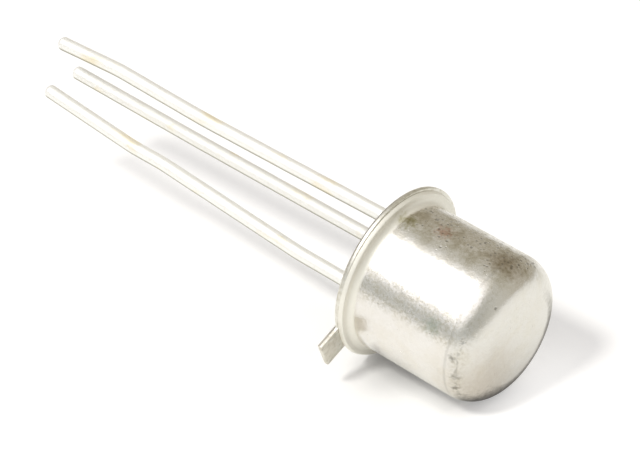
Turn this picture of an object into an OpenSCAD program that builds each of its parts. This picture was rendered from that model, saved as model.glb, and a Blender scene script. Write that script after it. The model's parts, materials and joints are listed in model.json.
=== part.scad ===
/* [Can] */
// Outer diameter of the drawn can
can_d = 4.7; // [4.3:0.01:6.2]
// Height of the closed end above the seat
can_h = 4.7; // [3.9:0.01:7]
// Sheet thickness of the can
can_wall = 0.24; // [0.12:0.01:0.28]
// Outer radius between the can's wall and its closed end
crown_r = 0.95; // [0.4:0.01:1.3]
// Thickness of the can's weld flange
cap_flange_t = 0.15; // [0.1:0.01:0.3]
// Fillet between the can's wall and its weld flange
root_fillet = 0.28; // [0.1:0.01:0.34]
// How far the can's weld flange stops short of the header's rim
rim_step = 0.1; // [0.08:0.01:0.16]
// How far the can is welded off the header's centre, towards the tab
can_offset = 0.07; // [0:0.01:0.07]
// How far the can's bore lies off its outer wall, away from the tab
bore_offset = 0.02; // [0:0.005:0.03]

/* [Header] */
// How far the header's flange stands out from the can's wall
flange_lip = 0.4; // [0.35:0.01:1]
// Sheet thickness of the header's flange and tab
flange_t = 0.2; // [0.12:0.01:0.4]
// Height of the header's platform above the seat
platform_h = 1.25; // [0.9:0.01:2]
// Wall and platform thickness of the header's eyelet
eyelet_wall = 0.22; // [0.15:0.01:0.26]
// Gap between the eyelet and the can, where they are centred
eyelet_gap = 0.1; // [0.08:0.01:0.16]
// Glass round an insulated lead where it passes the platform
glass_collar = 0.18; // [0.12:0.01:0.22]
// How far the glass stands back from the seat
glass_recess = 0.09; // [0.08:0.01:0.3]

/* [Index tab] */
// Width of the tab
tab_w = 0.95; // [0.7:0.01:1.3]
// How far the tab stands out from the flange
tab_reach = 0.8; // [0.5:0.01:1.3]
// Radius of the tab's corners and of its root
tab_r = 0.08; // [0.04:0.01:0.2]

/* [Leads] */
// Diameter of a lead
lead_d = 0.45; // [0.36:0.01:0.55]
// Length of a lead below the seat
lead_len = 14.5; // [13:0.1:20]
// Diameter of the circle on which the leads stand
lead_circle_d = 2.54; // [2.1:0.01:3.06]
// Angle from the tab to the emitter lead
first_lead_angle = 45; // [30:1:60]
// Angle from one lead to the next
lead_pitch_angle = 90; // [70:1:100]
// Height of the two posts above the platform
post_h = 0.55; // [0.3:0.01:1.2]
// Diameter of a post's flattened head
post_head_d = 0.58; // [0.56:0.01:0.75]
// Thickness of a post's flattened head
post_head_t = 0.1; // [0.05:0.01:0.2]
// Radius of a lead's cut end
tip_r = 0.1; // [0.04:0.01:0.16]

/* [Chip] */
// Side of the silicon chip
chip_w = 0.55; // [0.4:0.01:0.9]
// Thickness of the silicon chip
chip_t = 0.18; // [0.1:0.01:0.3]
// Thickness of the solder under the chip
solder_t = 0.03; // [0.02:0.01:0.08]
// How far the solder spreads past the chip
solder_spread = 0.07; // [0.03:0.01:0.15]
// Distance from the chip's centre to a bond
bond_offset = 0.16; // [0.12:0.01:0.19]
// Diameter of a bond wire
bond_wire_d = 0.05; // [0.03:0.01:0.07]
// Diameter of a bond's pressed foot
bond_foot_d = 0.12; // [0.1:0.01:0.15]
// Thickness of a bond's pressed foot
bond_foot_t = 0.04; // [0.03:0.01:0.06]
// Angle at which a bond wire leaves the line between its feet
bond_rise = 55; // [35:1:75]

/* [Rest] */
// Angle from the tab to the side that lies on the table
rest_angle = 66; // [45:1:90]

/* [Hidden] */
$fn = 72;

can_r = can_d / 2;
can_bore_r = can_r - can_wall;
flange_r = can_r + flange_lip;
cap_flange_r = flange_r - rim_step;
inner_crown_r = max(crown_r - can_wall, 0.05);
flare_r = 0.1;                          // inside edge where the can's wall turns outwards
eyelet_r = can_bore_r - eyelet_gap;
eyelet_bore_r = eyelet_r - eyelet_wall;
eyelet_bend_r = 0.1;                    // bends of the stamped eyelet, on its inner side
platform_base = platform_h - eyelet_wall;

lead_r = lead_d / 2;
lead_circle_r = lead_circle_d / 2;
emitter_angle = first_lead_angle;
base_angle = emitter_angle + lead_pitch_angle;
collector_angle = base_angle + lead_pitch_angle;
feed_r = lead_r + glass_collar;
post_top = platform_h + post_h;
weld_flare = 0.1;                       // upset metal round the collector lead's weld
meniscus_r = 0.07;                      // glass that climbs a lead below the seal

chip_base = platform_h + solder_t;
chip_top = chip_base + chip_t;

// Gentle bends along each lead, counted from the seat:
// [straight length before the bend, bend radius, bend angle, direction towards which it bends]
inward = 180;
outward = 0;
emitter_bends = [
    [0.35, 2, 11, inward], [0.45, 2, 11, outward], [1.6, 8, 3, inward],
    [5.4, 8, 3.5, outward], [0.8, 8, 4, inward]
];
base_bends = [[1, 30, 0.9, inward], [7, 30, 0.9, outward]];
collector_bends = [
    [0.2, 3, 5, outward], [0.3, 3, 6, inward], [6.5, 40, 1.8, outward],
    [2.8, 8, 4, inward]
];

// The part lies on the rim of its flange and on the edge of its closed end.
crown_centre_r = can_r - crown_r + can_offset * cos(rest_angle);
rim_to_crown = [can_h - crown_r - flange_t, flange_r - crown_centre_r];
rest_tilt = atan2(rim_to_crown[1], rim_to_crown[0]) - asin(crown_r / norm(rim_to_crown));
rest_height = flange_r * cos(rest_tilt) + flange_t * sin(rest_tilt);
middle = (can_h - lead_len) / 2;        // middle of the whole length, from the seat
tab_side = (flange_r + tab_reach) * sin(rest_angle) + tab_w / 2 * cos(rest_angle);
side_shift = (tab_side - flange_r) / 2; // centres the tab's overhang

// Outside of a round corner: what is cut away beyond an arc about the origin
module corner_cut(r) {
    difference() {
        square(r + 1);
        circle(r);
    }
}

// Inside corner: the web between an arc and two edges that meet at the origin
module corner_web(r) {
    difference() {
        square(r);
        translate([r, r]) circle(r);
    }
}

// Half section of the can, outside line
module can_outline() {
    difference() {
        translate([0, flange_t]) square([can_r, can_h - flange_t]);
        translate([can_r - crown_r, can_h - crown_r]) corner_cut(crown_r);
    }
    translate([0, flange_t]) square([cap_flange_r, cap_flange_t]);
    translate([can_r, flange_t + cap_flange_t]) corner_web(root_fillet);
}

// Half section of the space inside the can
module can_space() {
    difference() {
        square([can_bore_r, can_h - can_wall]);
        translate([can_bore_r - inner_crown_r, can_h - can_wall - inner_crown_r])
            corner_cut(inner_crown_r);
    }
    translate([can_bore_r, flange_t]) corner_web(flare_r);
    square([can_bore_r + flare_r, flange_t]);
}

// Half section of the stamped header, filled
module header_outline() {
    square([flange_r, flange_t]);
    difference() {
        square([eyelet_r, platform_h]);
        translate([eyelet_r - eyelet_bend_r - eyelet_wall, platform_h - eyelet_bend_r - eyelet_wall])
            corner_cut(eyelet_bend_r + eyelet_wall);
    }
    translate([eyelet_r, flange_t]) corner_web(eyelet_bend_r);
}

// Half section of the eyelet's hollow, from a height up to the platform
module eyelet_hollow(from) {
    difference() {
        translate([0, from]) square([eyelet_bore_r, platform_base - from]);
        translate([eyelet_bore_r - eyelet_bend_r, platform_base - eyelet_bend_r])
            corner_cut(eyelet_bend_r);
    }
}

// Places a child on the lead circle, with +X pointing outwards
module on_lead_circle(angle) {
    rotate([0, 0, angle]) translate([lead_circle_r, 0, 0]) children();
}

// Holes of the two insulated leads, through everything up to past the platform
module feed_holes() {
    for (angle = [emitter_angle, base_angle])
        on_lead_circle(angle) cylinder(r = feed_r, h = platform_h + 1);
}

// Lays the upright part down on the table, with its length along +X
module lay_down() {
    translate([0, side_shift, rest_height])
        rotate([0, 90 + rest_tilt, 0])
            rotate([0, 0, -rest_angle])
                children();
}

// Everything is drawn upright, seat at z = 0 and the can above it, and then laid down.
module placed() {
    translate([-middle * cos(rest_tilt), 0, 0]) lay_down() children();
}

// Piece of bent wire: leaves along +Z and turns towards +X
module elbow(radius, angle) {
    translate([radius, 0, 0])
        rotate([90, 0, 180])
            rotate_extrude(angle = angle) translate([radius, 0]) circle(lead_r);
}

// Last straight stretch of a lead, with its cut edge rounded
module lead_end(length) {
    rotate_extrude()
        difference() {
            square([lead_r, length]);
            translate([lead_r - tip_r, length - tip_r]) corner_cut(tip_r);
        }
}

// A wire that runs along +Z through its bends until its whole length is used
module bent_run(bends, length, i = 0) {
    if (i == len(bends)) {
        lead_end(length);
    } else {
        straight = bends[i][0];
        radius = bends[i][1];
        angle = bends[i][2];
        towards = bends[i][3];
        arc = radius * angle * PI / 180;
        cylinder(r = lead_r, h = straight);
        translate([0, 0, straight]) rotate([0, 0, towards]) {
            elbow(radius, angle);
            translate([radius * (1 - cos(angle)), 0, radius * sin(angle)])
                rotate([0, angle, 0])
                    rotate([0, 0, -towards])
                        bent_run(bends, length - straight - arc, i + 1);
        }
    }
}

// A lead below the seat
module hanging_lead(bends) {
    mirror([0, 0, 1]) bent_run(bends, lead_len);
}

// A lead that passes through the glass and stands above the platform as a headed post
module post_lead(angle, bends) {
    on_lead_circle(angle) {
        hanging_lead(bends);
        cylinder(r = lead_r, h = post_top);
        translate([0, 0, post_top - post_head_t]) cylinder(d = post_head_d, h = post_head_t);
    }
}

// A bond wire in the upright plane through the axis at this angle, with its two pressed feet
module bond_wire(angle) {
    from = [bond_offset, chip_top + bond_foot_t / 2];
    to = [lead_circle_r, post_top + bond_foot_t / 2];
    span = norm(to - from);
    slope = atan2(to[1] - from[1], to[0] - from[0]);
    radius = span / 2 / sin(bond_rise);
    rotate([0, 0, angle]) {
        translate([from[0], 0, chip_top]) cylinder(d = bond_foot_d, h = bond_foot_t);
        translate([to[0], 0, post_top]) cylinder(d = bond_foot_d, h = bond_foot_t);
        translate([from[0], 0, from[1]])
            rotate([90, -slope, 0])
                translate([span / 2, -radius * cos(bond_rise), 0])
                    rotate([0, 0, 90 - bond_rise])
                        rotate_extrude(angle = 2 * bond_rise)
                            translate([radius, 0]) circle(d = bond_wire_d);
    }
}

// Drawn can with its weld flange, one sheet throughout, a little off-centre as it was welded
module cap() {
    color("#c9c7b6") placed()
        difference() {
            translate([can_offset, 0, 0]) rotate_extrude() can_outline();
            translate([can_offset - bore_offset, 0, 0]) rotate_extrude() can_space();
        }
}

// Stamped header: flange, index tab and eyelet, with holes for the two insulated leads
module header() {
    color("#c2b99c") placed()
        difference() {
            union() {
                rotate_extrude() header_outline();
                linear_extrude(flange_t) tab_outline();
            }
            rotate_extrude() eyelet_hollow(-1);
            feed_holes();
        }
}

// Plan of the index tab, rounded at its corners and at its root
module tab_outline() {
    reach = flange_r + tab_reach;
    root_x = sqrt(pow(flange_r + tab_r, 2) - pow(tab_w / 2 + tab_r, 2));
    difference() {
        union() {
            translate([flange_r - tab_reach, -tab_w / 2]) square([2 * tab_reach, tab_w]);
            translate([flange_r / 2, -tab_w / 2 - tab_r])
                square([root_x - flange_r / 2, tab_w + 2 * tab_r]);
        }
        for (side = [-1, 1]) {
            translate([reach - tab_r, side * (tab_w / 2 - tab_r)])
                mirror([0, side < 0 ? 1 : 0]) corner_cut(tab_r);
            translate([root_x, side * (tab_w / 2 + tab_r)]) circle(tab_r);
        }
    }
}

// Room for the glass: the eyelet's hollow and both holes, up to the platform's surface
module seal_room() {
    rotate_extrude() eyelet_hollow(0);
    intersection() {
        rotate_extrude() header_outline();
        feed_holes();
    }
}

// Glass that fills the eyelet and both holes, and seals the three leads
module glass_seal() {
    color("#5d7f86") placed()
        difference() {
            intersection() {
                seal_room();
                union() {
                    translate([0, 0, glass_recess]) cylinder(r = eyelet_r, h = platform_h);
                    for (angle = [emitter_angle, base_angle, collector_angle])
                        on_lead_circle(angle)
                            translate([0, 0, glass_recess]) mirror([0, 0, 1])
                                rotate_extrude() translate([lead_r, 0]) corner_web(meniscus_r);
                }
            }
            for (angle = [emitter_angle, base_angle, collector_angle])
                on_lead_circle(angle) cylinder(r = lead_r, h = platform_h + 1);
            collector_weld();
        }
}

// Upset metal where the collector lead is welded under the platform
module collector_weld() {
    intersection() {
        rotate_extrude() eyelet_hollow(0);
        on_lead_circle(collector_angle)
            translate([0, 0, platform_base - weld_flare])
                cylinder(r1 = lead_r, r2 = lead_r + weld_flare, h = weld_flare);
    }
}

// Insulated lead nearest the tab
module emitter_lead() {
    color("#e4dcc3") placed() post_lead(emitter_angle, emitter_bends);
}

// Insulated lead opposite the collector lead
module base_lead() {
    color("#e4dcc3") placed() post_lead(base_angle, base_bends);
}

// Lead welded to the underside of the platform, and so joined to the can
module collector_lead() {
    color("#e4dcc3") placed() {
        on_lead_circle(collector_angle) {
            hanging_lead(collector_bends);
            cylinder(r = lead_r, h = platform_base);
        }
        collector_weld();
    }
}

// Silicon chip in the middle of the platform
module chip() {
    color("#6b7076") placed()
        translate([-chip_w / 2, -chip_w / 2, chip_base]) cube([chip_w, chip_w, chip_t]);
}

// Solder film between chip and platform
module chip_solder() {
    film_w = chip_w + 2 * solder_spread;
    color("#cfa94b") placed()
        translate([-film_w / 2, -film_w / 2, platform_h]) cube([film_w, film_w, solder_t]);
}

// Wire from the chip to the emitter post
module emitter_bond_wire() {
    color("#d8b24a") placed() bond_wire(emitter_angle);
}

// Wire from the chip to the base post
module base_bond_wire() {
    color("#d8b24a") placed() bond_wire(base_angle);
}

cap();
header();
glass_seal();
emitter_lead();
base_lead();
collector_lead();
chip();
chip_solder();
emitter_bond_wire();
base_bond_wire();
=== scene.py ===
import json
import math

import bmesh
import bpy
from mathutils import Matrix, Vector, geometry, noise


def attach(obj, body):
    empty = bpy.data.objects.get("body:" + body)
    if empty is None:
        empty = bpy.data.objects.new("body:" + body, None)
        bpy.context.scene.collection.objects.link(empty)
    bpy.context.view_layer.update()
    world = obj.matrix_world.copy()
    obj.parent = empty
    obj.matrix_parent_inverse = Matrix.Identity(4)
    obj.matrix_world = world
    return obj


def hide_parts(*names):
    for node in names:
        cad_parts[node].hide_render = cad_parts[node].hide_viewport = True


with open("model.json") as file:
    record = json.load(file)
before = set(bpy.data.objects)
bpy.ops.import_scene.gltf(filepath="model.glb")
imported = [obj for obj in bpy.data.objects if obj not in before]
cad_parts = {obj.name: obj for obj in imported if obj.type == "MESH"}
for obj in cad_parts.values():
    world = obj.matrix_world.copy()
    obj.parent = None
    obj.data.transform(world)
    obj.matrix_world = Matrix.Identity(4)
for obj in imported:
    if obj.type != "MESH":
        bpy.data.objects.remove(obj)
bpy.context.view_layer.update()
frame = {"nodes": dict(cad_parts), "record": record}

mounts = {mount["name"]: mount for mount in frame["record"]["mounts"]}
mm = 0.001  # sizes below are in millimetres, save where a note says metres, which Blender works in
print("frame loaded:", ", ".join(sorted(frame["nodes"])))


header = {
    "flangeRadius": 2.75,
    "thickness": 0.2,
    "frontRound": 0.03,
    "backRound": 0.12,  # die roll on the lead side
    "tabWidth": 0.95,
    "tabReach": 0.8,
    "tabRound": 0.08,
    "tabEdgeRound": 0.06,
    "platformHeight": 1.25,
    "eyeletRadius": 2.01,
    "eyeletWall": 0.22,
    "bendRadius": 0.1,
    "lipRound": 0.07,
    "feedRadius": 0.405,
    "leadCircleRadius": 1.27,
    "feedAngles": (45, 135),  # the two leads that pass the platform
    "tones": ((0.3, "#E1DED6"), (0.5, "#E7E5DF"), (0.72, "#EAE8E3")),
    "grime": ((0.3, "#D4CFC3"), (0.5, "#F6F3EC"), (0.7, "#FFFFFF")),
    "tabDull": "#FAF8F5",  # the tab, dulled and frosted by fingers and test sockets
    "tabMetal": 0.72,
    "tabFade": 0.35,  # mm over which that sets in
    "grimeAmount": 0.7,
    "blotch": 0.6,  # mm across, as are the next two
    "spot": 0.16,
    "grain": 0.07,
    "roughSmooth": (0.42, 0.3),
}

# where the part lies: upright sizes, seat at height 0 and tab along +X, are carried into the frame
canAxis = Vector(mounts["can_wall"]["axis"]).normalized()
tabDirection = Vector(mounts["index_tab"]["axis"]).normalized()
tabEnd = Vector(mounts["index_tab"]["pos_m"])
seatCentre = (
    tabEnd
    - tabDirection * (header["flangeRadius"] + header["tabReach"]) * mm
    - canAxis * header["thickness"] / 2 * mm
)
turn = Matrix((tabDirection, canAxis.cross(tabDirection), canAxis)).transposed()
laid = Matrix.Translation(seatCentre) @ turn.to_4x4() @ Matrix.Scale(mm, 4)
upright = turn.transposed()


def linearColour(hexCode):
    channels = [int(hexCode[i : i + 2], 16) / 255 for i in (1, 3, 5)]
    return tuple(c / 12.92 if c <= 0.04045 else ((c + 0.055) / 1.055) ** 2.4 for c in channels) + (1,)


def addNode(tree, kind, *inputs, stops=(), **settings):
    # adds a node with its settings and colour stops; its inputs come in order or as a dictionary of names;
    # a node or a socket is linked, "#..." is a colour
    node = tree.nodes.new(kind if "Node" in kind else "ShaderNode" + kind)
    for name, value in settings.items():
        setattr(node, name, value)
    for i, (position, colour) in enumerate(stops):
        elements = node.color_ramp.elements
        element = elements[i] if i < len(elements) else elements.new(1.0)
        element.position = position
        element.color = linearColour(colour)
    if inputs and isinstance(inputs[0], dict):
        pairs = [(node.inputs[name], value) for name, value in inputs[0].items()]
    else:
        pairs = zip([socket for socket in node.inputs if socket.enabled], inputs)
    for socket, value in pairs:
        if isinstance(value, bpy.types.Node):
            value = next(output for output in value.outputs if output.enabled)
        if isinstance(value, bpy.types.NodeSocket):
            tree.links.new(value, socket)
        elif isinstance(value, str) and value.startswith("#"):
            socket.default_value = linearColour(value)
        else:
            socket.default_value = value
    return node


def newMaterial(name):
    material = bpy.data.materials.new(name)
    material.use_nodes = True
    material.node_tree.nodes.clear()
    return material, material.node_tree


def newFinish(name, patterns):
    # a material with the part's standing coordinates and noise patterns: size in mm, detail, roughness
    material, tree = newMaterial(name)
    place = standingCoordinates(tree)
    noises = [addNode(tree, "TexNoise", place, 1 / size, *kind) for size, *kind in patterns]
    return material, tree, place, noises


def multiplied(tree, colour, layers):
    # the colour times each layer's tone in turn, as far as the layer's amount goes
    for amount, tone in layers:
        colour = addNode(tree, "Mix", amount, colour, tone, data_type="RGBA", blend_type="MULTIPLY")
    return colour


def finishSurface(tree, inputs):
    surface = addNode(tree, "BsdfPrincipled", inputs)
    addNode(tree, "OutputMaterial", surface)


def standing(direction):
    # a direction in the frame, turned back to the standing part
    return tuple(upright @ Vector(direction))


def standingCoordinates(tree):
    # object coordinates turned upright and counted in millimetres from the seat's centre
    return addNode(
        tree,
        "Mapping",
        {
            "Vector": addNode(tree, "TexCoord").outputs["Object"],
            "Scale": (1 / mm,) * 3,
            "Rotation": tuple(upright.to_euler("XYZ")),
            "Location": tuple(-(upright @ seatCentre) / mm),
        },
    )


def shareTowards(tree, vector, direction, start, full):
    # 0 where the vector reaches less than start along the direction, 1 where it reaches full
    reach = addNode(tree, "VectorMath", vector, direction, operation="DOT_PRODUCT")
    return addNode(tree, "MapRange", reach, start, full, interpolation_type="SMOOTHSTEP")


def addObject(name, data):
    thing = bpy.data.objects.new(name, data)
    bpy.context.scene.collection.objects.link(thing)
    return thing


def finishedObject(name, mesh, material):
    # takes an upright mesh in millimetres, lays it down and makes it an object at the origin
    mesh.transform(laid)
    mesh.materials.clear()
    mesh.materials.append(material)
    mesh.polygons.foreach_set("use_smooth", [True] * len(mesh.polygons))
    mesh.update()
    return addObject(name, mesh)


def standFor(piece, node):
    # the finished piece takes the place of its plain solid
    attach(piece, "root")
    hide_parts(node)


def meshOf(name, points, faces):
    mesh = bpy.data.meshes.new(name)
    mesh.from_pydata([tuple(p) for p in points], [], faces)
    work = bmesh.new()
    work.from_mesh(mesh)
    bmesh.ops.remove_doubles(work, verts=work.verts, dist=1e-6)
    bmesh.ops.recalc_face_normals(work, faces=work.faces)
    work.to_mesh(mesh)
    work.free()
    return mesh


def arc(centre, radius, start, end, steps):
    # points of an arc in a half section, angles in degrees from the outward direction
    return [
        (
            centre[0] + radius * math.cos(math.radians(start + (end - start) * i / steps)),
            centre[1] + radius * math.sin(math.radians(start + (end - start) * i / steps)),
        )
        for i in range(steps + 1)
    ]


def spread(start, end, steps):
    return [
        (start[0] + (end[0] - start[0]) * i / steps, start[1] + (end[1] - start[1]) * i / steps)
        for i in range(1, steps)
    ]


def loft(name, rings):
    # closed skin over rings of equal count; the first and the last ring shrink to a pole
    count = len(rings[0])
    points = [p for ring in rings for p in ring]
    faces = []
    for k in range(len(rings) - 1):
        for i in range(count):
            j = (i + 1) % count
            faces.append((k * count + i, k * count + j, (k + 1) * count + j, (k + 1) * count + i))
    first = len(points)
    points.append(sum((Vector(p) for p in rings[0]), Vector()) / count)
    points.append(sum((Vector(p) for p in rings[-1]), Vector()) / count)
    last = (len(rings) - 1) * count
    for i in range(count):
        j = (i + 1) % count
        faces.append((first, j, i))
        faces.append((first + 1, last + i, last + j))
    return meshOf(name, points, faces)


def stampedHeaderPlate():
    # nickel-plated steel strip, stamped and drawn: the can's plate, yellower and duller from handling
    patterns = [(header[size], 3.0, 0.6) for size in ("blotch", "spot", "grain")]
    material, tree, place, (broad, small, grain) = newFinish("stampedHeaderPlate", patterns)
    tone = addNode(tree, "ValToRGB", broad, stops=header["tones"])
    grime = addNode(tree, "ValToRGB", small, stops=header["grime"])
    tabRoot = header["flangeRadius"]
    onTab = shareTowards(tree, place, (1, 0, 0), tabRoot, tabRoot + header["tabFade"])
    layers = ((header["grimeAmount"], grime), (onTab, header["tabDull"]))
    finishSurface(
        tree,
        {
            "Base Color": multiplied(tree, tone, layers),
            "Metallic": addNode(tree, "MapRange", onTab, 0.0, 1.0, 1.0, header["tabMetal"]),
            "Roughness": addNode(tree, "MapRange", small, 0.3, 0.7, *header["roughSmooth"]),
            "Normal": addNode(tree, "Bump", {"Height": grain, "Strength": 0.4, "Distance": 0.008 * mm}),
        },
    )
    return material


def headerOutline():
    # plan of the flange with its tab, as (x, y) points, about 0.045 mm apart
    radius, width, corner = header["flangeRadius"], header["tabWidth"], header["tabRound"]
    reach = radius + header["tabReach"]
    root = math.sqrt((radius + corner) ** 2 - (width / 2 + corner) ** 2)
    rootAngle = math.atan2(width / 2 + corner, root)
    half = [(reach, width / 2 * i / 12) for i in range(0, 11)]
    half += arc((reach - corner, width / 2 - corner), corner, 0, 90, 6)
    half += spread((reach - corner, width / 2), (root, width / 2), 14)
    turnEnd = math.degrees(rootAngle) + 180
    half += arc((root, width / 2 + corner), corner, 270, turnEnd, 5)
    steps = 176
    half += [
        (
            radius * math.cos(rootAngle + (math.pi - rootAngle) * i / steps),
            radius * math.sin(rootAngle + (math.pi - rootAngle) * i / steps),
        )
        for i in range(1, steps + 1)
    ]
    return half + [(x, -y) for x, y in reversed(half[1:-1])]


def insetOutline(outline, inset):
    # the plan drawn in by a step; the tab, whose edges are less round, is drawn in less
    moved = []
    for i, (x, y) in enumerate(outline):
        before, after = Vector(outline[i - 1]), Vector(outline[(i + 1) % len(outline)])
        along = (after - before).normalized()
        onTab = min(1.0, max(0.0, (x - header["flangeRadius"] * 0.96) / 0.15))
        step = inset * (1 - onTab) + min(inset, header["tabEdgeRound"]) * onTab
        moved.append((x - along.y * step, y + along.x * step))
    return moved


def headerRings():
    # rings from the middle of the platform, down the eyelet, round the flange and back up inside
    outline = headerOutline()
    angles = [math.atan2(y, x) for x, y in outline]

    def circleRing(radius, height):
        return [(radius * math.cos(angle), radius * math.sin(angle), height) for angle in angles]

    def outlineRing(inset, height):
        return [(x, y, height) for x, y in insetOutline(outline, inset)]

    thick, front, low = header["thickness"], header["frontRound"], header["backRound"]
    bend, wall, lip = header["bendRadius"], header["eyeletWall"], header["lipRound"]
    top, eyelet = header["platformHeight"], header["eyeletRadius"]
    bore = eyelet - wall
    above = [(eyelet * i / 6, top) for i in range(1, 5)]
    above += arc((eyelet - bend - wall, top - bend - wall), bend + wall, 90, 0, 10)
    above += spread((eyelet, top - bend - wall), (eyelet, thick + bend), 6)
    above += arc((eyelet + bend, thick + bend), bend, 180, 270, 6)
    above.append(((eyelet + bend + header["flangeRadius"]) / 2, thick))
    rings = [circleRing(radius, height) for radius, height in above]
    for i in range(7):
        angle = math.pi / 2 * i / 6
        rings.append(outlineRing(front - front * math.sin(angle), thick - front + front * math.cos(angle)))
    for i in range(8):
        angle = math.pi / 2 * i / 7
        rings.append(outlineRing(low - low * math.cos(angle), low - low * math.sin(angle)))
    below = [((bore + lip + header["flangeRadius"]) / 2, 0)]
    below += arc((bore + lip, lip), lip, 270, 180, 6)
    below += spread((bore, lip), (bore, top - wall - bend), 6)
    below += arc((bore - bend, top - wall - bend), bend, 0, 90, 6)
    below += spread((bore - bend, top - wall), (0, top - wall), 4)
    return rings + [circleRing(radius, height) for radius, height in below]


def headerMesh():
    # the stamped and drawn sheet, with the holes for the two leads that pass the platform drilled out
    body = addObject("headerBody", loft("headerBody", headerRings()))
    drills = []
    for degrees in header["feedAngles"]:
        angle = math.radians(degrees)
        centre = Vector((math.cos(angle), math.sin(angle), 0)) * header["leadCircleRadius"]
        centre.z = header["platformHeight"]
        hole = header["feedRadius"]
        depth = 4 * header["thickness"]
        work = bmesh.new()
        bmesh.ops.create_cone(work, cap_ends=True, segments=48, radius1=hole, radius2=hole, depth=depth)
        bmesh.ops.translate(work, verts=work.verts, vec=centre)
        drillMesh = bpy.data.meshes.new("feedDrill")
        work.to_mesh(drillMesh)
        work.free()
        drill = addObject("feedDrill", drillMesh)
        cut = body.modifiers.new("feedHole", "BOOLEAN")
        cut.object = drill
        cut.operation = "DIFFERENCE"
        cut.solver = "EXACT"
        drills.append(drill)
    depsgraph = bpy.context.evaluated_depsgraph_get()
    cutMesh = bpy.data.meshes.new_from_object(body.evaluated_get(depsgraph))
    for used in [body] + drills:
        bpy.data.objects.remove(used)
    return cutMesh


headerBody = finishedObject("headerWithTab", headerMesh(), stampedHeaderPlate())
standFor(headerBody, "header")
print("header made")


can = {
    "radius": mounts["can_wall"]["dims"]["r_mm"],
    "height": 4.7,
    "sheet": 0.24,
    "flare": 0.1,
    "crownRadius": 0.95,
    "rootFillet": 0.2,
    "flangeRadius": 2.68,
    "flangeFoot": 2.715,  # the flange's edge leans in from here
    "flangeThickness": 0.13,
    "edgeRound": 0.04,
    "shift": 0.07,  # welded this far towards the tab
    "boreShift": 0.05,
    "segments": 320,
    "dentDepth": 0.006,
    "dentSpan": 1.6,
    "endSink": 0.012,
    "plate": ((0.35, "#E8E3DC"), (0.6, "#EBE7E3")),
    "worn": ((0.36, "#CBC6B2"), (0.56, "#FFFFFF")),  # dull grains in the bands: tarnish, and painted shade where the bands reflect dull cloth
    "wornWide": ((0.4, "#CFCABB"), (0.56, "#FFFFFF")),  # blotches in the upper band: tarnish, and painted shade of the dull cloth it reflects
    "flangeFilm": "#F3F0E7",
    "flangeRough": 0.5,
    "flangeMetal": 0.65,  # the rest is frosted by the weld
    "pit": "#5A5648",
    "blotch": 0.55,  # mm across, as are the next three
    "dullGrain": 0.095,  # coarser than the real grain, which is too fine to show
    "ripple": 0.13,
    "pitSpacing": 0.15,
    "roughSmooth": (0.28, 0.2),
    "flangeFade": (0.56, 0.46),  # height on the standing can where the flange's frosting ends and is full
    "bandGrain": (0.05, 0.5),  # how much of the dull grain shows outside the bands and in them
    "bandBlotch": 0.7,
    "bandPits": 0.18,  # how many more pits the bands have
    "pitDark": 0.5,
    "stainWander": 0.7,  # mm by which the ripples shift a stain's outline
    "ringHeights": (3.9, 4.22),  # rings left by the drawing die
    "ringDepths": (0.3, 0.7),
    "ringHalfWidth": 0.07,
    # bands along the can, tarnished and darkened with painted shade where they reflect dull cloth: direction
    # in the frame, reach in mm where one starts and is full
    "bands": (((0.1, 0.27, 0.96), 1.6, 2.3), ((0.049, -0.88, 0.4725), 2.3, 2.355)),
    # single stains, and one painted shade: place on the standing can in mm, radius in mm, colour
    "stains": (
        ((-0.9, -2.14, 1.74), 0.42, "#E2C6B9"),
        ((-0.59, -2.25, 0.62), 0.42, "#BFBB98"),
        ((-1.04, -2.06, 3.85), 0.8, "#C2B8A8"),
        ((1.66, -1.73, 3.18), 0.42, "#DEE5DF"),
        # painted shade: the closed end on the tab's side, darkened as a painted reflection of the shaded
        # paper
        ((1.6, 0.3, 4.6), 2.0, "#E0DAD3"),
    ),
    "deepPits": (  # place and radius in mm
        ((2.21, -0.57, 4.23), 0.16),
        ((2.02, -1.2, 4.08), 0.12),
        ((2.32, -0.05, 4.18), 0.12),
        ((0.3, -1.97, 4.5), 0.05),
    ),
    "ringDirection": (-0.012, -0.994, -0.115),  # where the inner die ring is deepest
    # painted shade along the lower edge of the closed end, a dark line where the rim reflects the shaded
    # paper: the direction it faces, and how far each way it reaches
    "rubDirection": (0.53081, -0.64045, 0.55503),
    "rubHalfWidth": (0.22, 0.45),
    "rubWander": 0.2,  # how ragged the ripples make it
    "rubSide": (0.72, 0.0, -0.69),
    # colour of the painted edge shade
    "rub": "#675E50",
}


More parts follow.
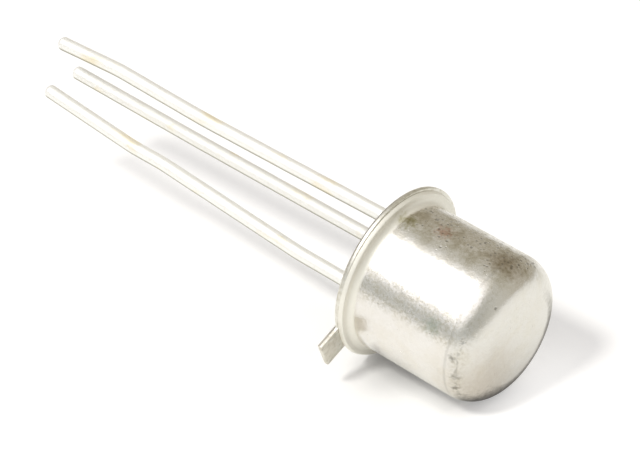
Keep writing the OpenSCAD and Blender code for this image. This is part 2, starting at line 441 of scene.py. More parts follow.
def paintedEdgeShade(tree, place, ripples):
    # share of painted edge shade: the rounded edge of the closed end, where it stands square to the shade's
    # direction
    crown, shift = can["crownRadius"], can["shift"]
    flatPlace = addNode(tree, "VectorMath", place, (1, 1, 0), (-shift, 0, 0), operation="MULTIPLY_ADD")
    outward = addNode(tree, "VectorMath", flatPlace, operation="NORMALIZE")
    ring, middle = (can["radius"] - crown,) * 3, (shift, 0, can["height"] - crown)
    roundCentre = addNode(tree, "VectorMath", outward, ring, middle, operation="MULTIPLY_ADD")
    fromCentre = addNode(tree, "VectorMath", place, roundCentre, operation="SUBTRACT")
    square = addNode(tree, "VectorMath", fromCentre, standing(can["rubDirection"]), operation="DOT_PRODUCT")
    squareOff = addNode(tree, "Math", square, operation="ABSOLUTE")
    wander = can["rubWander"]
    ragged = addNode(tree, "Math", ripples, wander, squareOff, operation="MULTIPLY_ADD")
    full, none = can["rubHalfWidth"]
    amount = addNode(tree, "MapRange", ragged, none + wander / 2, full + wander / 2)
    offCentre = addNode(tree, "VectorMath", fromCentre, operation="LENGTH")
    onRound = addNode(tree, "MapRange", offCentre, crown + 0.06, crown + 0.02)
    outerPart = shareTowards(tree, fromCentre, outward, 0.02, 0.14)
    lowSide = shareTowards(tree, fromCentre, standing(Vector(can["rubSide"]).normalized()), 0.5, 0.74)
    for share in (onRound, outerPart, lowSide):
        amount = addNode(tree, "Math", amount, share, operation="MULTIPLY")
    return amount


def pitsAndRings(tree, place, height, ripples, pitChance):
    # share of dark marks: pits about 0.05 mm wide, a few deep ones, and two rings from the drawing die
    cells = addNode(tree, "TexVoronoi", place, 1 / can["pitSpacing"])  # pits widen where chance is high
    pitSize = addNode(tree, "MapRange", pitChance, 0.64, 0.95, -0.12, 0.24)
    pitEdge = addNode(tree, "Math", cells, pitSize, operation="SUBTRACT")
    marks = [addNode(tree, "MapRange", pitEdge, 0.12, 0.0)]
    for middle, radius in can["deepPits"]:
        away = addNode(tree, "VectorMath", place, middle, operation="DISTANCE")
        ragged = addNode(tree, "Math", ripples, 0.3, away, operation="MULTIPLY_ADD")
        marks.append(addNode(tree, "MapRange", ragged, radius + 0.17, radius * 0.4 + 0.12, 0.0, 1.2))
    deepSide = shareTowards(tree, place, standing(can["ringDirection"]), 1.45, 2.1)
    fading = addNode(tree, "MapRange", deepSide, 0.0, 1.0, 0.12, 0.8)
    gaps = addNode(tree, "MapRange", ripples, 0.6, 0.42)
    halfWidth = can["ringHalfWidth"]
    for ringHeight, depth, breaks in zip(can["ringHeights"], can["ringDepths"], ((), (gaps, fading))):
        away = addNode(tree, "Math", height, ringHeight, operation="SUBTRACT")
        beside = addNode(tree, "Math", away, operation="ABSOLUTE")
        ring = addNode(
            tree, "MapRange", beside, halfWidth, halfWidth * 0.2, 0.0, depth, interpolation_type="SMOOTHSTEP"
        )
        for share in breaks:
            ring = addNode(tree, "Math", ring, share, operation="MULTIPLY")
        marks.append(ring)
    darkest = marks[0]
    for mark in marks[1:]:
        darkest = addNode(tree, "Math", darkest, mark, operation="MAXIMUM")
    return darkest


def tarnishAndShadeBands(tree, place, height, offFlange):
    # shares of the upper band, and of all that is dull: both bands and a strip beside the second die ring;
    # the bands carry tarnish and painted shade
    upper, lower = [
        shareTowards(tree, place, standing(direction), start, full) for direction, start, full in can["bands"]
    ]
    fromRing = addNode(tree, "Math", height, can["ringHeights"][1], operation="SUBTRACT")
    besideRing = addNode(tree, "Math", fromRing, operation="ABSOLUTE")
    strip = addNode(tree, "MapRange", besideRing, 0.3, 0.08, 0.0, 0.6, interpolation_type="SMOOTHSTEP")
    dull = addNode(tree, "Math", upper, lower, operation="MAXIMUM")
    dull = addNode(tree, "Math", dull, strip, operation="MAXIMUM")
    return [addNode(tree, "Math", share, offFlange, operation="MULTIPLY") for share in (upper, dull)]


def nickelPlatedCan():
    # nickel-plated can, drawn deep from sheet and barrel-plated: a soft mirror with small ripples, dull
    # grainy bands where it has tarnished and where painted shade darkens what they reflect, small dark pits,
    # two faint rings round the closed end, a painted shade on the closed end and a painted dark line along
    # its lower rim
    patterns = ((can["blotch"], 3.0, 0.6), (can["dullGrain"], 3.0, 0.6), (can["ripple"], 2.0, 0.5))
    material, tree, place, (blotches, grains, ripples) = newFinish("nickelPlatedCan", patterns)
    height = addNode(tree, "SeparateXYZ", place).outputs["Z"]
    onFlange = addNode(tree, "MapRange", height, *can["flangeFade"], interpolation_type="SMOOTHSTEP")
    offFlange = addNode(tree, "Math", 1.0, onFlange, operation="SUBTRACT")
    # the bands: tarnish, and painted shade where the can reflects dull cloth
    upperBand, dull = tarnishAndShadeBands(tree, place, height, offFlange)
    plate = addNode(tree, "ValToRGB", blotches, stops=can["plate"])
    grainTone = addNode(tree, "ValToRGB", grains, stops=can["worn"])
    blotchTone = addNode(tree, "ValToRGB", blotches, stops=can["wornWide"])
    grainAmount = addNode(tree, "MapRange", dull, 0.0, 1.0, *can["bandGrain"])
    blotchAmount = addNode(tree, "Math", upperBand, can["bandBlotch"], operation="MULTIPLY")
    layers = [(grainAmount, grainTone), (blotchAmount, blotchTone)]
    # single stains and the painted shade on the closed end, with ragged outlines
    reach, shifts = can["stainWander"], ripples.outputs["Color"]
    wander = addNode(tree, "VectorMath", shifts, (reach,) * 3, place, operation="MULTIPLY_ADD")
    for middle, radius, tone in can["stains"]:
        centre = tuple(c + reach / 2 for c in middle)
        away = addNode(tree, "VectorMath", wander, centre, operation="DISTANCE")
        inside = addNode(tree, "MapRange", away, radius, 0.0, interpolation_type="SMOOTHSTEP")
        layers.append((inside, tone))
    # painted shade: a dark line along the lower rim of the closed end
    layers.append((paintedEdgeShade(tree, place, ripples), can["rub"]))
    colour = addNode(tree, "Mix", onFlange, plate, can["flangeFilm"], data_type="RGBA")
    colour = multiplied(tree, colour, layers)
    pitChance = blotches
    for band in (upperBand, dull):
        pitChance = addNode(tree, "Math", band, can["bandPits"], pitChance, operation="MULTIPLY_ADD")
    marks = pitsAndRings(tree, place, height, ripples, pitChance)
    marks = addNode(tree, "Math", marks, offFlange, operation="MULTIPLY")
    markAmount = addNode(tree, "Math", marks, can["pitDark"], operation="MULTIPLY")
    colour = addNode(tree, "Mix", markAmount, colour, can["pit"], data_type="RGBA")
    grainy = addNode(tree, "MapRange", grains, 0.3, 0.7, *can["roughSmooth"])
    roughness = addNode(tree, "Mix", onFlange, grainy, can["flangeRough"], data_type="FLOAT")
    metal = addNode(tree, "MapRange", onFlange, 0.0, 1.0, 1.0, can["flangeMetal"])
    bump = addNode(tree, "Bump", {"Height": blotches, "Strength": 0.5, "Distance": 0.02 * mm})
    for pattern, strength, depth, inward in ((ripples, 0.5, 0.007, False), (marks, 0.6, 0.01, True)):
        relief = {"Height": pattern, "Strength": strength, "Distance": depth * mm, "Normal": bump}
        bump = addNode(tree, "Bump", relief, invert=inward)
    finishSurface(tree, {"Base Color": colour, "Metallic": metal, "Roughness": roughness, "Normal": bump})
    return material


def canSections():
    # half sections of the outside, from the closed end to the flange's foot, and of the inside back up
    wall, crown, top = can["radius"], can["crownRadius"], can["height"]
    foot, fillet, edge = header["thickness"], can["rootFillet"], can["edgeRound"]
    flangeTop = foot + can["flangeThickness"]
    flat = wall - crown
    outside = [(flat * i / 22, top) for i in range(1, 22)]
    outside += arc((flat, top - crown), crown, 90, 0, 30)
    outside += spread((wall, top - crown), (wall, flangeTop + fillet), 52)
    outside += arc((wall + fillet, flangeTop + fillet), fillet, 180, 270, 12)
    outside += arc((can["flangeRadius"] - edge, flangeTop - edge), edge, 90, 15, 6)
    outside += arc((can["flangeFoot"] - edge / 2, foot + edge / 2), edge / 2, 15, -90, 5)
    bore, flare = wall - can["sheet"], can["flare"]
    innerCrown, innerTop = crown - can["sheet"], top - can["sheet"]
    inside = spread((can["flangeFoot"] - edge / 2, foot), (bore + flare, foot), 4)
    inside += arc((bore + flare, foot + flare), flare, 270, 180, 6)
    inside += spread((bore, foot + flare), (bore, innerTop - innerCrown), 12)
    inside += arc((bore - innerCrown, innerTop - innerCrown), innerCrown, 0, 90, 12)
    inside += spread((bore - innerCrown, innerTop), (0, innerTop), 6)
    return outside, inside


def dented(x, y, z):
    # a point of the outside, moved by the slight swell and hollow that drawing leaves in the sheet
    crown, top = can["crownRadius"], can["height"]
    swell = noise.noise(Vector((x, y, z)) / can["dentSpan"] + Vector((3.1, 7.7, 1.9))) * can["dentDepth"]
    outward = Vector((x, y, max(0.0, z - (top - crown))))
    outward = outward.normalized() if z < top - 1e-6 else Vector((0, 0, 1))
    return x + outward.x * swell, y + outward.y * swell, z + outward.z * (swell - can["dentDepth"])


def canMesh():
    outside, inside = canSections()
    flat = can["radius"] - can["crownRadius"]
    wallFoot = header["thickness"] + can["flangeThickness"] + can["rootFillet"]
    rings = []
    for section, shift in ((outside, can["shift"]), (inside, can["boreShift"])):
        for radius, height in section:
            ring = []
            for i in range(can["segments"]):
                angle = 2 * math.pi * i / can["segments"]
                x, y, z = radius * math.cos(angle), radius * math.sin(angle), height
                if section is outside and height > wallFoot:
                    x, y, z = dented(x, y, z)
                    z -= can["endSink"] * max(0.0, 1 - (radius / flat) ** 2)
                ring.append((x + shift, y, z))
            rings.append(ring)
    return loft("canShell", rings)


canShell = finishedObject("canShell", canMesh(), nickelPlatedCan())
standFor(canShell, "cap")
print("can made")


leads = {
    "radius": mounts["emitter_lead_end"]["dims"]["r_mm"],
    "length": 14.5,
    "tipRound": 0.12,
    "postTop": 1.8,
    "headRadius": 0.29,
    "headThickness": 0.1,
    "step": 0.05,
    "roundSegments": 28,
    "weldFlare": 0.1,
    "tinStart": 1.2,  # the tin is full this far below the seat
    "tinSwell": 0.016,
    "tinLump": 1.1,
    "tones": ((0.3, "#F8F7F3"), (0.57, "#FAF9F6"), (0.65, "#F8F2E2"), (0.75, "#F1E5C6")),
    "oxide": ((0.3, "#EFEBE2"), (0.46, "#FFFFFF")),
    "oxideAmount": 0.35,
    "grime": "#A5A294",  # painted shade along the underside
    "underside": (-0.075, -0.687, -0.723),  # the side that lies towards the bench, in the frame
    "patch": 0.7,  # mm across, as are the next two
    "spot": 0.16,
    "grain": 0.12,  # coarser than the real crystals of tin, which are too fine to show
    "patchSquash": 0.45,  # patches run this much slower along the wire than across it
    "roughness": 0.5,
    "metal": 0.55,  # the rest is a white bloom of tin oxide
    # each bend: straight stretch before it, radius, degrees, and 180 towards the axis or 0 away from it
    "paths": {
        "emitterLead": {
            "angle": 45,
            "node": "emitter_lead",
            "seed": 3,
            "bends": [
                [0.35, 2, 11, 180],
                [0.45, 2, 11, 0],
                [1.6, 8, 3, 180],
                [5.4, 8, 3.5, 0],
                [0.8, 8, 4, 180],
            ],
        },
        "baseLead": {
            "angle": 135,
            "node": "base_lead",
            "seed": 5,
            "bends": [[1, 30, 0.9, 180], [7, 30, 0.9, 0]],
        },
        "collectorLead": {
            "angle": 225,
            "node": "collector_lead",
            "seed": 8,
            "bends": [[0.2, 3, 5, 0], [0.3, 3, 6, 180], [6.5, 40, 1.8, 0], [2.8, 8, 4, 180]],
        },
    },
}


def hotTinnedWire():
    # hot-dipped tin on drawn wire: satin, creamy white with a bloom of oxide, lumpy, yellowish in patches
    patterns = ((leads["spot"], 3.0, 0.6), (leads["grain"], 3.0, 0.6))
    material, tree, place, (small, grain) = newFinish("hotTinnedWire", patterns)
    stretched = addNode(tree, "Mapping", {"Vector": place, "Scale": (1, 1, leads["patchSquash"])})
    patches = addNode(tree, "TexNoise", stretched, 1 / leads["patch"], 2.0, 0.5)
    tone = addNode(tree, "ValToRGB", patches, stops=leads["tones"])
    oxide = addNode(tree, "ValToRGB", small, stops=leads["oxide"])
    normal = addNode(tree, "TexCoord").outputs["Normal"]
    # painted shade: the wire darkened on its side towards the bench
    underShade = shareTowards(tree, normal, leads["underside"], 0.74, 0.97)
    finishSurface(
        tree,
        {
            "Base Color": multiplied(tree, tone, ((leads["oxideAmount"], oxide), (underShade, leads["grime"]))),
            "Metallic": leads["metal"],
            "Roughness": leads["roughness"],
            "Normal": addNode(tree, "Bump", {"Height": grain, "Strength": 0.25, "Distance": 0.01 * mm}),
        },
    )
    return material


def leadLine(path):
    # rows down a lead's middle line: point, thickness as a share of the wire's, share of tin
    radius = leads["radius"]
    angle = math.radians(path["angle"])
    outward = Vector((math.cos(angle), math.sin(angle), 0))
    start = outward * header["leadCircleRadius"]
    line = []

    def addStanding(height, width):
        line.append((start + Vector((0, 0, height)), width / radius, 0.0))

    if path["node"] == "collector_lead":  # welded to the platform
        top = header["platformHeight"] - header["eyeletWall"]
        flare = leads["weldFlare"]
        addStanding(top, radius + flare)
        addStanding(top - flare, radius)
        top -= 0.15
    else:  # ends in a flattened post
        top, head, headFoot = leads["postTop"], leads["headRadius"], leads["postTop"] - leads["headThickness"]
        addStanding(top, head - 0.03)
        addStanding(top - 0.03, head)
        addStanding(headFoot, head)
        addStanding(headFoot - 0.01, radius)
        top = headFoot - 0.06
    count = int(top / 0.12)
    for i in range(count + 1):
        addStanding(top * (1 - i / count), radius)
    place = Matrix.Translation(start) @ Matrix.Rotation(angle, 4, "Z") @ Matrix.Diagonal((1, 1, -1, 1))
    run = 0.0

    def walk(length, bend):
        nonlocal place, run
        steps = max(1, round(length / leads["step"]))
        for i in range(1, steps + 1):
            reached = length * i / steps
            here = place @ Matrix.Translation((0, 0, reached))
            if bend is not None:
                bendRadius, towards = bend
                bent = reached / bendRadius
                across = (bendRadius * (1 - math.cos(bent)), 0, bendRadius * math.sin(bent))
                side = Matrix.Rotation(math.radians(towards), 4, "Z")
                turned = Matrix.Translation(across) @ Matrix.Rotation(bent, 4, "Y")
                here = place @ side @ turned @ side.inverted()
            line.append((here.translation.copy(), 1.0, min(1.0, (run + reached) / leads["tinStart"])))
        place = here
        run += length

    for straight, bendRadius, degrees, towards in path["bends"]:
        walk(straight, None)
        walk(bendRadius * math.radians(degrees), (bendRadius, towards))
    tip = leads["tipRound"]
    walk(leads["length"] - run - tip, None)
    end = line[-1][0]
    direction = (end - line[-2][0]).normalized()
    for i in range(1, 8):  # the rounded tip
        angle = math.pi / 2 * i / 7
        line.append((end + direction * tip * math.sin(angle), 1 - tip * (1 - math.cos(angle)) / radius, 1.0))
    return line


def leadTree():
    # sweeps a round wire along a line: mesh line -> curve -> tube -> lumps of tin -> realised mesh
    tree = bpy.data.node_groups.new("tinnedLeadSweep", "GeometryNodeTree")
    face = tree.interface
    face.new_socket("Line", in_out="INPUT", socket_type="NodeSocketGeometry")
    sockets = {}
    for name, kind, value in (
        ("Wire Radius", "NodeSocketFloat", leads["radius"]),
        ("Round Segments", "NodeSocketInt", leads["roundSegments"]),
        ("Tin Swell", "NodeSocketFloat", leads["tinSwell"]),
        ("Tin Lump", "NodeSocketFloat", leads["tinLump"]),
        ("Seed", "NodeSocketFloat", 0.0),
        ("Finish", "NodeSocketMaterial", None),
    ):
        socket = face.new_socket(name, in_out="INPUT", socket_type=kind)
        if value is not None:
            socket.default_value = value
        sockets[name] = socket.identifier
    face.new_socket("Wire", in_out="OUTPUT", socket_type="NodeSocketGeometry")
    inputs = addNode(tree, "NodeGroupInput")
    toCurve = addNode(tree, "GeometryNodeMeshToCurve", {"Mesh": inputs.outputs["Line"]})
    thickness = addNode(tree, "GeometryNodeInputNamedAttribute", {"Name": "thickness"}, data_type="FLOAT")
    radius = addNode(tree, "Math", thickness, inputs.outputs["Wire Radius"], operation="MULTIPLY")
    tinned = addNode(tree, "GeometryNodeInputNamedAttribute", {"Name": "tinned"}, data_type="FLOAT")
    profileSizes = {"Resolution": inputs.outputs["Round Segments"], "Radius": 1.0}
    profile = addNode(tree, "GeometryNodeCurvePrimitiveCircle", profileSizes)
    sweep = {"Curve": toCurve, "Profile Curve": profile, "Scale": radius, "Fill Caps": True}
    tube = addNode(tree, "GeometryNodeCurveToMesh", sweep)
    lumpScale = addNode(tree, "Math", 1.0, inputs.outputs["Tin Lump"], operation="DIVIDE")
    position = addNode(tree, "GeometryNodeInputPosition")
    lumps = addNode(
        tree, "TexNoise", position, inputs.outputs["Seed"], lumpScale, 2.0, 0.55, noise_dimensions="4D"
    )
    centred = addNode(tree, "Math", lumps, 0.5, operation="SUBTRACT")
    swell = addNode(tree, "Math", centred, inputs.outputs["Tin Swell"], operation="MULTIPLY")
    masked = addNode(tree, "Math", swell, tinned, operation="MULTIPLY")
    normal = addNode(tree, "GeometryNodeInputNormal")
    push = addNode(tree, "VectorMath", normal, masked, operation="SCALE")
    lumpy = addNode(tree, "GeometryNodeSetPosition", {"Geometry": tube, "Offset": push})
    real = addNode(tree, "GeometryNodeRealizeInstances", {"Geometry": lumpy})
    coat = {"Geometry": real, "Material": inputs.outputs["Finish"]}
    finish = addNode(tree, "GeometryNodeSetMaterial", coat)
    addNode(tree, "NodeGroupOutput", {"Wire": finish})
    return tree, sockets


def leadMesh(name, path, tree, sockets, finish):
    line = leadLine(path)
    mesh = bpy.data.meshes.new(name + "Line")
    mesh.from_pydata([row[0] for row in line], [(i, i + 1) for i in range(len(line) - 1)], [])
    for column, attributeName in ((1, "thickness"), (2, "tinned")):
        attribute = mesh.attributes.new(attributeName, "FLOAT", "POINT")
        attribute.data.foreach_set("value", [row[column] for row in line])
    guide = addObject(name + "Line", mesh)
    sweep = guide.modifiers.new("sweep", "NODES")
    sweep.node_group = tree
    sweep[sockets["Seed"]] = float(path["seed"])
    sweep[sockets["Finish"]] = finish
    depsgraph = bpy.context.evaluated_depsgraph_get()
    swept = bpy.data.meshes.new_from_object(guide.evaluated_get(depsgraph))
    guide.modifiers.remove(sweep)
    bpy.data.objects.remove(guide)
    work = bmesh.new()
    work.from_mesh(swept)
    bmesh.ops.recalc_face_normals(work, faces=work.faces)
    work.to_mesh(swept)
    work.free()
    return swept


wireFinish = hotTinnedWire()
sweepTree, sweepSockets = leadTree()
for leadName, path in leads["paths"].items():
    wire = finishedObject(leadName, leadMesh(leadName, path, sweepTree, sweepSockets, wireFinish), wireFinish)
    standFor(wire, path["node"])
print("leads made")


glass = {
    "intoWall": 0.003,  # mm that the glass reaches into the metal, so that no gap shows
    "intoLead": 0.004,
    "recess": 0.09,
    "wallClimb": 0.05,
    "wallReach": 0.16,
    "leadClimb": 0.075,
    "leadReach": 0.13,
    "sag": 0.02,
    "gridStep": 0.09,
    "cloud": 0.5,  # mm across, as are the next two
    "ripple": 0.4,
    "bubble": 0.2,
    "tones": ((0.3, "#33463F"), (0.55, "#4A6058"), (0.75, "#6B7F74")),
    "bubbleTones": ((0.05, "#A9B8AE"), (0.12, "#000000")),
}


def fusedSealingGlass():
    # sealing glass fused in a furnace: glossy grey-green, cloudy, with fine bubbles
    patterns = ((glass["cloud"], 3.0, 0.6), (glass["ripple"], 2.0, 0.5))
    material, tree, place, (cloud, ripple) = newFinish("fusedSealingGlass", patterns)
    bubbles = addNode(tree, "TexVoronoi", place, 1 / glass["bubble"])
    tone = addNode(tree, "ValToRGB", cloud, stops=glass["tones"])
    specks = addNode(tree, "ValToRGB", bubbles, stops=glass["bubbleTones"])
    finishSurface(
        tree,
        {
            "Base Color": addNode(tree, "Mix", 0.5, tone, specks, data_type="RGBA", blend_type="SCREEN"),
            "Roughness": 0.08,
            "IOR": 1.52,
            "Transmission Weight": 0.25,
            "Normal": addNode(tree, "Bump", {"Height": ripple, "Strength": 0.3, "Distance": 0.01 * mm}),
        },
    )
    return material


def glassFace(bore, hole, centres):
    # the face's plan, cut into triangles that are fine at the wall and round each lead
    points, edges = [], []

    def addCircle(centre, radius, count, closed):
        start = len(points)
        for i in range(count):
            angle = 2 * math.pi * i / count
            points.append(centre + Vector((math.cos(angle), math.sin(angle))) * radius)
        if closed:
            edges.extend((start + i, start + (i + 1) % count) for i in range(count))

    addCircle(Vector((0, 0)), bore, 160, True)
    for k in range(1, 5):
        addCircle(Vector((0, 0)), bore - glass["wallReach"] * (k / 4) ** 1.2, 160, False)
    for centre in centres:
        addCircle(centre, hole, 40, True)
        for k in range(1, 6):
            addCircle(centre, hole + glass["leadReach"] * (k / 5) ** 1.3, 40, False)
    steps = int(bore / glass["gridStep"])
    for i in range(-steps, steps + 1):
        for j in range(-steps, steps + 1):
            point = Vector((i, j + 0.5 * (i % 2))) * glass["gridStep"]
            if point.length < bore - glass["wallReach"] - 0.05:
                if all((point - centre).length > hole + glass["leadReach"] + 0.04 for centre in centres):
                    points.append(point)
    plan, _, triangles, _, _, _ = geometry.delaunay_2d_cdt(points, edges, [], 0, 1e-6)
    kept = []
    for triangle in triangles:
        middle = sum((Vector(plan[i]) for i in triangle), Vector((0, 0))) / 3
        if all((middle - centre).length > hole * 0.99 for centre in centres):
            kept.append(triangle)
    return plan, kept


def addCollar(work, centre, section):
    # a small closed section turned round a post
    count = 40
    loops = []
    for radius, height in section:
        ring = []
        for i in range(count):
            angle = 2 * math.pi * i / count
            place = (centre.x + radius * math.cos(angle), centre.y + radius * math.sin(angle), height)
            ring.append(work.verts.new(place))
        loops.append(ring)
    for k, ring in enumerate(loops):
        following = loops[(k + 1) % len(loops)]
        for i in range(count):
            j = (i + 1) % count
            work.faces.new((ring[i], ring[j], following[j], following[i]))


def glassMesh():
    # fused glass face with a meniscus at the eyelet and round each lead, and the body behind it
    bore = header["eyeletRadius"] - header["eyeletWall"] + glass["intoWall"]
    hole = leads["radius"] - glass["intoLead"]
    backHeight = header["platformHeight"] - header["eyeletWall"]
    centres = []
    for path in leads["paths"].values():
        angle = math.radians(path["angle"])
        centres.append(Vector((math.cos(angle), math.sin(angle))) * header["leadCircleRadius"])

    def faceHeight(point):
        height = glass["recess"] + glass["sag"] * (1 - (point.length / bore) ** 2)
        fromWall = bore - point.length
        if fromWall < glass["wallReach"]:
            height -= glass["wallClimb"] * (1 - fromWall / glass["wallReach"]) ** 2
        for centre in centres:
            fromLead = (point - centre).length - hole
            if fromLead < glass["leadReach"]:
                height -= glass["leadClimb"] * (1 - max(fromLead, 0) / glass["leadReach"]) ** 2
        return height

    plan, kept = glassFace(bore, hole, centres)
    mesh = bpy.data.meshes.new("glassBody")
    mesh.from_pydata([(point.x, point.y, faceHeight(Vector(point))) for point in plan], [], kept)
    work = bmesh.new()
    work.from_mesh(mesh)
    loose = [v for v in work.verts if not v.link_faces]
    bmesh.ops.delete(work, geom=loose, context="VERTS")
    grown = bmesh.ops.extrude_face_region(work, geom=work.faces[:])
    for element in grown["geom"]:
        if isinstance(element, bmesh.types.BMVert):
            element.co.z = backHeight
    # collars of glass round the two posts, rooted in the glass below the platform
    foot, top = backHeight - 0.03, header["platformHeight"]
    inner, outer = hole + 0.002, header["feedRadius"]
    for centre in centres[: len(header["feedAngles"])]:
        addCollar(work, centre, ((inner, foot), (outer, foot), (outer, top), (inner, top)))
    bmesh.ops.recalc_face_normals(work, faces=work.faces)
    work.to_mesh(mesh)
    work.free()
    return mesh


glassBody = finishedObject("glassSeal", glassMesh(), fusedSealingGlass())
standFor(glassBody, "glass_seal")
print("glass made")


chip = {
    "sawDust": 0.08,  # mm across
    "siliconTones": ((0.35, "#565C66"), (0.65, "#7A808A")),
    "siliconRough": (0.08, 0.25),
    "solderWrinkle": 0.06,
    "solderTones": ((0.3, "#B98F3E"), (0.6, "#DDBB68")),
    "dieLine": 0.02,  # mm across, coarser than real, so that it shows
    "wireTones": ((0.3, "#D9A945"), (0.7, "#F2D27C")),
}


def polishedSilicon():
    # silicon chip, polished and sawn: dark blue-grey mirror with a faint haze of sawing dust
    material, tree, _, (haze,) = newFinish("polishedSilicon", [(chip["sawDust"], 3.0, 0.6)])
    tone = addNode(tree, "ValToRGB", haze, stops=chip["siliconTones"])
    roughness = addNode(tree, "MapRange", haze, 0.3, 0.7, *chip["siliconRough"])
    finishSurface(tree, {"Base Color": tone, "Metallic": 1.0, "Roughness": roughness})
    return material


def goldSolder():
    # gold-silicon solder, melted under the chip: matt gold film, wrinkled where it froze
    material, tree, _, (frozen,) = newFinish("goldSolder", [(chip["solderWrinkle"], 4.0, 0.65)])
    tone = addNode(tree, "ValToRGB", frozen, stops=chip["solderTones"])
    bump = addNode(tree, "Bump", {"Height": frozen, "Strength": 0.6, "Distance": 0.008 * mm})
    finishSurface(tree, {"Base Color": tone, "Metallic": 1.0, "Roughness": 0.4, "Normal": bump})
    return material


def drawnGoldWire():
    # gold bond wire, drawn through dies: bright yellow with fine die lines
    material, tree, _, (lines,) = newFinish("drawnGoldWire", [(chip["dieLine"], 2.0, 0.5)])
    tone = addNode(tree, "ValToRGB", lines, stops=chip["wireTones"])
    bump = addNode(tree, "Bump", {"Height": lines, "Strength": 0.3, "Distance": 0.002 * mm})
    finishSurface(tree, {"Base Color": tone, "Metallic": 1.0, "Roughness": 0.2, "Normal": bump})
    return material


bondFinish = drawnGoldWire()
for node, finish in (
    ("chip", polishedSilicon()),
    ("chip_solder", goldSolder()),
    ("emitter_bond_wire", bondFinish),
    ("base_bond_wire", bondFinish),
):
    nodeMesh = frame["nodes"][node].data
    nodeMesh.materials.clear()
    nodeMesh.materials.append(finish)
print("chip and bond wires finished")


studio = {
    "floorHalf": 1.5,  # metres
    "floorTone": "#F2F2F2",
    "floorGlow": 0.15,
    "endGlow": 0.3,  # light that the can's closed end throws on the paper in front of it
    "endGlowAt": (9.6, 0.7, 0.0),  # mm
    "endGlowReach": 4.5,
    # how dark the paper gets where the part touches it: reach, and depth between two places along the part
    "contactReach": 0.75,
    "contactFrom": (8.2, 9.1),
    "contactDepth": (0.55, 1.0),
    "footAt": (5.8, -0.95, 0.0),  # soft shade under the flange's foot, mm
    "footReach": 1.7,
    "footDepth": 0.76,
    "reflectedNear": "#F2F4F2",
    "reflectedAhead": "#E8EBE7",  # the paper ahead of the closed end, as the can reflects it
    "reflectedFrom": (5, 11),  # mm along the part
    "reflectedContact": 0.8,
    "paperFade": (8, 60),  # mm from the part
    "paperFaded": 0.74,
    "tentRadius": 0.25,  # metres
    "lampCloth": (-0.39, -0.43, 0.81),  # middle of the bright panel, as a direction
    "lampClothEdge": (0.87, 0.97),  # cosines where it fades out and where it is full
    "lampClothLight": 3.2,
    "whiteCloth": (-0.06, -0.53, 0.846),
    "whiteClothEdge": (0.67, 0.915),
    "whiteClothLight": 1.35,
    # the rest of the cloth, from the camera's side to the back, and beyond the leads
    "dullCloth": (
        (0.0, "#CDD0CC"),
        (0.14, "#BEC0BB"),
        (0.3, "#BDBEB8"),
        (0.5, "#CACAC2"),
        (0.7, "#C8C6BA"),
        (0.85, "#BFBAAC"),
        (0.925, "#B7B2A3"),
    ),
    "leadCloth": "#8E8889",
    "roomLight": 0.71,
    "roomTint": "#FFFCFA",
    "keyDirection": (-0.085, -0.59, 0.803),
    "keyDistance": 0.4,  # metres, as is the next one
    "keySize": 0.075,
    "keyPower": 0.78,
    "keyTint": "#FFFDF8",
}


def seenRays(tree):
    # 1 for camera, glossy and transmission rays, 0 for the rays that carry light
    path = addNode(tree, "LightPath")
    seen = path.outputs["Is Camera Ray"]
    for ray in ("Is Glossy Ray", "Is Transmission Ray"):
        seen = addNode(tree, "Math", seen, path.outputs[ray], operation="MAXIMUM")
    return seen


def nearPlace(tree, place, centre, reach, far, near):
    # a value that goes from far to near within reach of a centre, in millimetres
    away = addNode(tree, "VectorMath", place, tuple(c * mm for c in centre), operation="DISTANCE")
    return addNode(tree, "MapRange", away, reach * mm, 0.0, far, near, interpolation_type="SMOOTHSTEP")


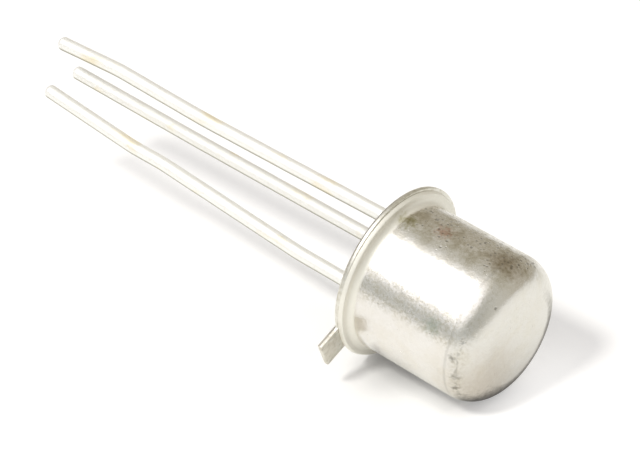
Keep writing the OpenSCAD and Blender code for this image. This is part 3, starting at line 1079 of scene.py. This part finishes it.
def paperFloor():
    # matt white paper; what the metal reflects of it gets darker away from the part, like a small sheet
    material, tree = newMaterial("paperFloor")
    path = addNode(tree, "LightPath")
    fromCamera, fromMetal = path.outputs["Is Camera Ray"], path.outputs["Is Glossy Ray"]
    place = addNode(tree, "TexCoord").outputs["Object"]
    forward = addNode(tree, "SeparateXYZ", place).outputs["X"]
    contact = addNode(tree, "AmbientOcclusion", {"Distance": studio["contactReach"] * mm}, samples=8)
    start, end = studio["contactFrom"]
    depthSeen = addNode(tree, "MapRange", forward, start * mm, end * mm, *studio["contactDepth"])
    depth = addNode(tree, "Mix", fromMetal, depthSeen, studio["reflectedContact"], data_type="FLOAT")
    contactShade = addNode(tree, "MapRange", contact.outputs["AO"], 0.1, 0.9, depth, 1.0)
    footShade = nearPlace(tree, place, studio["footAt"], studio["footReach"], 1.0, studio["footDepth"])
    shade = addNode(tree, "Math", contactShade, footShade, operation="MULTIPLY")
    start, end = studio["reflectedFrom"]
    ahead = addNode(tree, "MapRange", forward, start * mm, end * mm, interpolation_type="SMOOTHSTEP")
    near, far = studio["reflectedNear"], studio["reflectedAhead"]
    reflected = addNode(tree, "Mix", ahead, near, far, data_type="RGBA")
    away = addNode(tree, "VectorMath", place, operation="LENGTH")
    start, end = studio["paperFade"]
    fall = addNode(tree, "MapRange", away, start * mm, end * mm, 1.0, studio["paperFaded"])
    reflectedFar = addNode(tree, "VectorMath", reflected, fall, operation="SCALE")
    tone = addNode(tree, "Mix", fromMetal, studio["floorTone"], reflectedFar, data_type="RGBA")
    shaded = addNode(tree, "VectorMath", tone, shade, operation="SCALE")
    paper = addNode(tree, "BsdfDiffuse", shaded)
    floorGlow = studio["floorGlow"]
    endLight = nearPlace(
        tree, place, studio["endGlowAt"], studio["endGlowReach"], floorGlow, floorGlow + studio["endGlow"]
    )
    glow = addNode(tree, "Mix", fromCamera, floorGlow, endLight, data_type="FLOAT")
    for share in (seenRays(tree), shade):
        glow = addNode(tree, "Math", glow, share, operation="MULTIPLY")
    lift = addNode(tree, "Emission", "#FFFFFF", glow)
    both = addNode(tree, "AddShader", paper, lift)
    addNode(tree, "OutputMaterial", both)
    return material


def tentStrength(tree, direction):
    # the tent's brightness in each direction, and the share of white cloth there
    white = shareTowards(tree, direction, studio["whiteCloth"], *studio["whiteClothEdge"])
    lit = shareTowards(tree, direction, studio["lampCloth"], *studio["lampClothEdge"])
    strength = addNode(tree, "MapRange", white, 0.0, 1.0, 1.0, studio["whiteClothLight"])
    added = studio["lampClothLight"] - studio["whiteClothLight"]
    return addNode(tree, "Math", lit, added, strength, operation="MULTIPLY_ADD"), white


def tentCloth():
    # the cloth tent that the metal reflects: one lit part, the rest dull, duller and warmer behind
    material, tree = newMaterial("tentCloth")
    place = addNode(tree, "TexCoord").outputs["Object"]
    direction = addNode(tree, "VectorMath", place, operation="NORMALIZE")
    axes = addNode(tree, "SeparateXYZ", direction)
    depth = addNode(tree, "MapRange", axes.outputs["Y"], -1.0, 1.0)
    cloth = addNode(tree, "ValToRGB", depth, stops=studio["dullCloth"])
    strength, white = tentStrength(tree, direction)
    leadSide = shareTowards(tree, direction, (-1.0, 0.0, 0.0), 0.6, 0.85)
    for share, tone in ((leadSide, studio["leadCloth"]), (white, "#FFFFFF")):
        cloth = addNode(tree, "Mix", share, cloth, tone, data_type="RGBA")
    glow = addNode(tree, "Emission", cloth, strength)
    addNode(tree, "OutputMaterial", glow)
    material.cycles.emission_sampling = "NONE"
    return material


def stageObject(name, mesh, material):
    mesh.materials.append(material)
    thing = addObject(name, mesh)
    return thing


floorMesh = bpy.data.meshes.new("floor")
half = studio["floorHalf"]
corners = [(-half, -half, 0), (half, -half, 0), (half, half, 0), (-half, half, 0)]
floorMesh.from_pydata(corners, [], [(0, 1, 2, 3)])
stageObject("floor", floorMesh, paperFloor())

tentMesh = bpy.data.meshes.new("tent")
work = bmesh.new()
bmesh.ops.create_uvsphere(work, u_segments=48, v_segments=24, radius=studio["tentRadius"])
bmesh.ops.reverse_faces(work, faces=work.faces)
work.to_mesh(tentMesh)
work.free()
tent = stageObject("tent", tentMesh, tentCloth())
for ray in ("camera", "diffuse", "transmission", "shadow", "volume_scatter"):
    setattr(tent, "visible_" + ray, False)  # only reflections meet the tent

world = bpy.data.worlds.new("studioWorld")
bpy.context.scene.world = world
world.use_nodes = True
worldTree = world.node_tree
worldTree.nodes.clear()
seen = seenRays(worldTree)
shown = addNode(worldTree, "Mix", seen, studio["roomLight"], 1.0, data_type="FLOAT")
skyTint = addNode(worldTree, "Mix", seen, studio["roomTint"], "#FFFFFF", data_type="RGBA")
sky = addNode(worldTree, "Background", skyTint, shown)
addNode(worldTree, "OutputWorld", sky)

lamp = bpy.data.lights.new("keyLamp", "AREA")
lamp.shape = "DISK"
lamp.size = studio["keySize"]
lamp.energy = studio["keyPower"]
lamp.color = linearColour(studio["keyTint"])[:3]
keyLamp = addObject("keyLamp", lamp)
keyDirection = Vector(studio["keyDirection"]).normalized()
keyLamp.location = keyDirection * studio["keyDistance"]
keyLamp.rotation_mode = "QUATERNION"
keyLamp.rotation_quaternion = keyDirection.to_track_quat("Z", "Y")
keyLamp.visible_glossy = False  # the tent's bright cloth stands for it in reflections


view = {
    "toCamera": (0.53081, -0.64045, 0.55503),
    "distance": 80.0,
    "lens": 150.57,
    "sensor": 36.0,
    "seatAside": (0.027496, -0.013449),  # tangents of how far right and up the seat's centre stands
}

camera = bpy.data.cameras.new("camera")
camera.sensor_width = view["sensor"]
camera.lens = view["lens"]
camera.clip_start = 0.002
camera.clip_end = 10
cameraObject = addObject("camera", camera)
back = Vector(view["toCamera"]).normalized()
right = Vector((0, 0, 1)).cross(back).normalized()
aimed = Matrix((right, back.cross(right), back)).transposed().to_quaternion()
seatRay = Vector((*view["seatAside"], -1))
cameraObject.rotation_mode = "QUATERNION"
cameraObject.rotation_quaternion = aimed @ seatRay.rotation_difference(Vector((0, 0, -1)))
cameraObject.location = seatCentre + back * view["distance"] * mm
bpy.context.scene.camera = cameraObject

bpy.context.scene.view_settings.view_transform = "Standard"
print("studio ready")
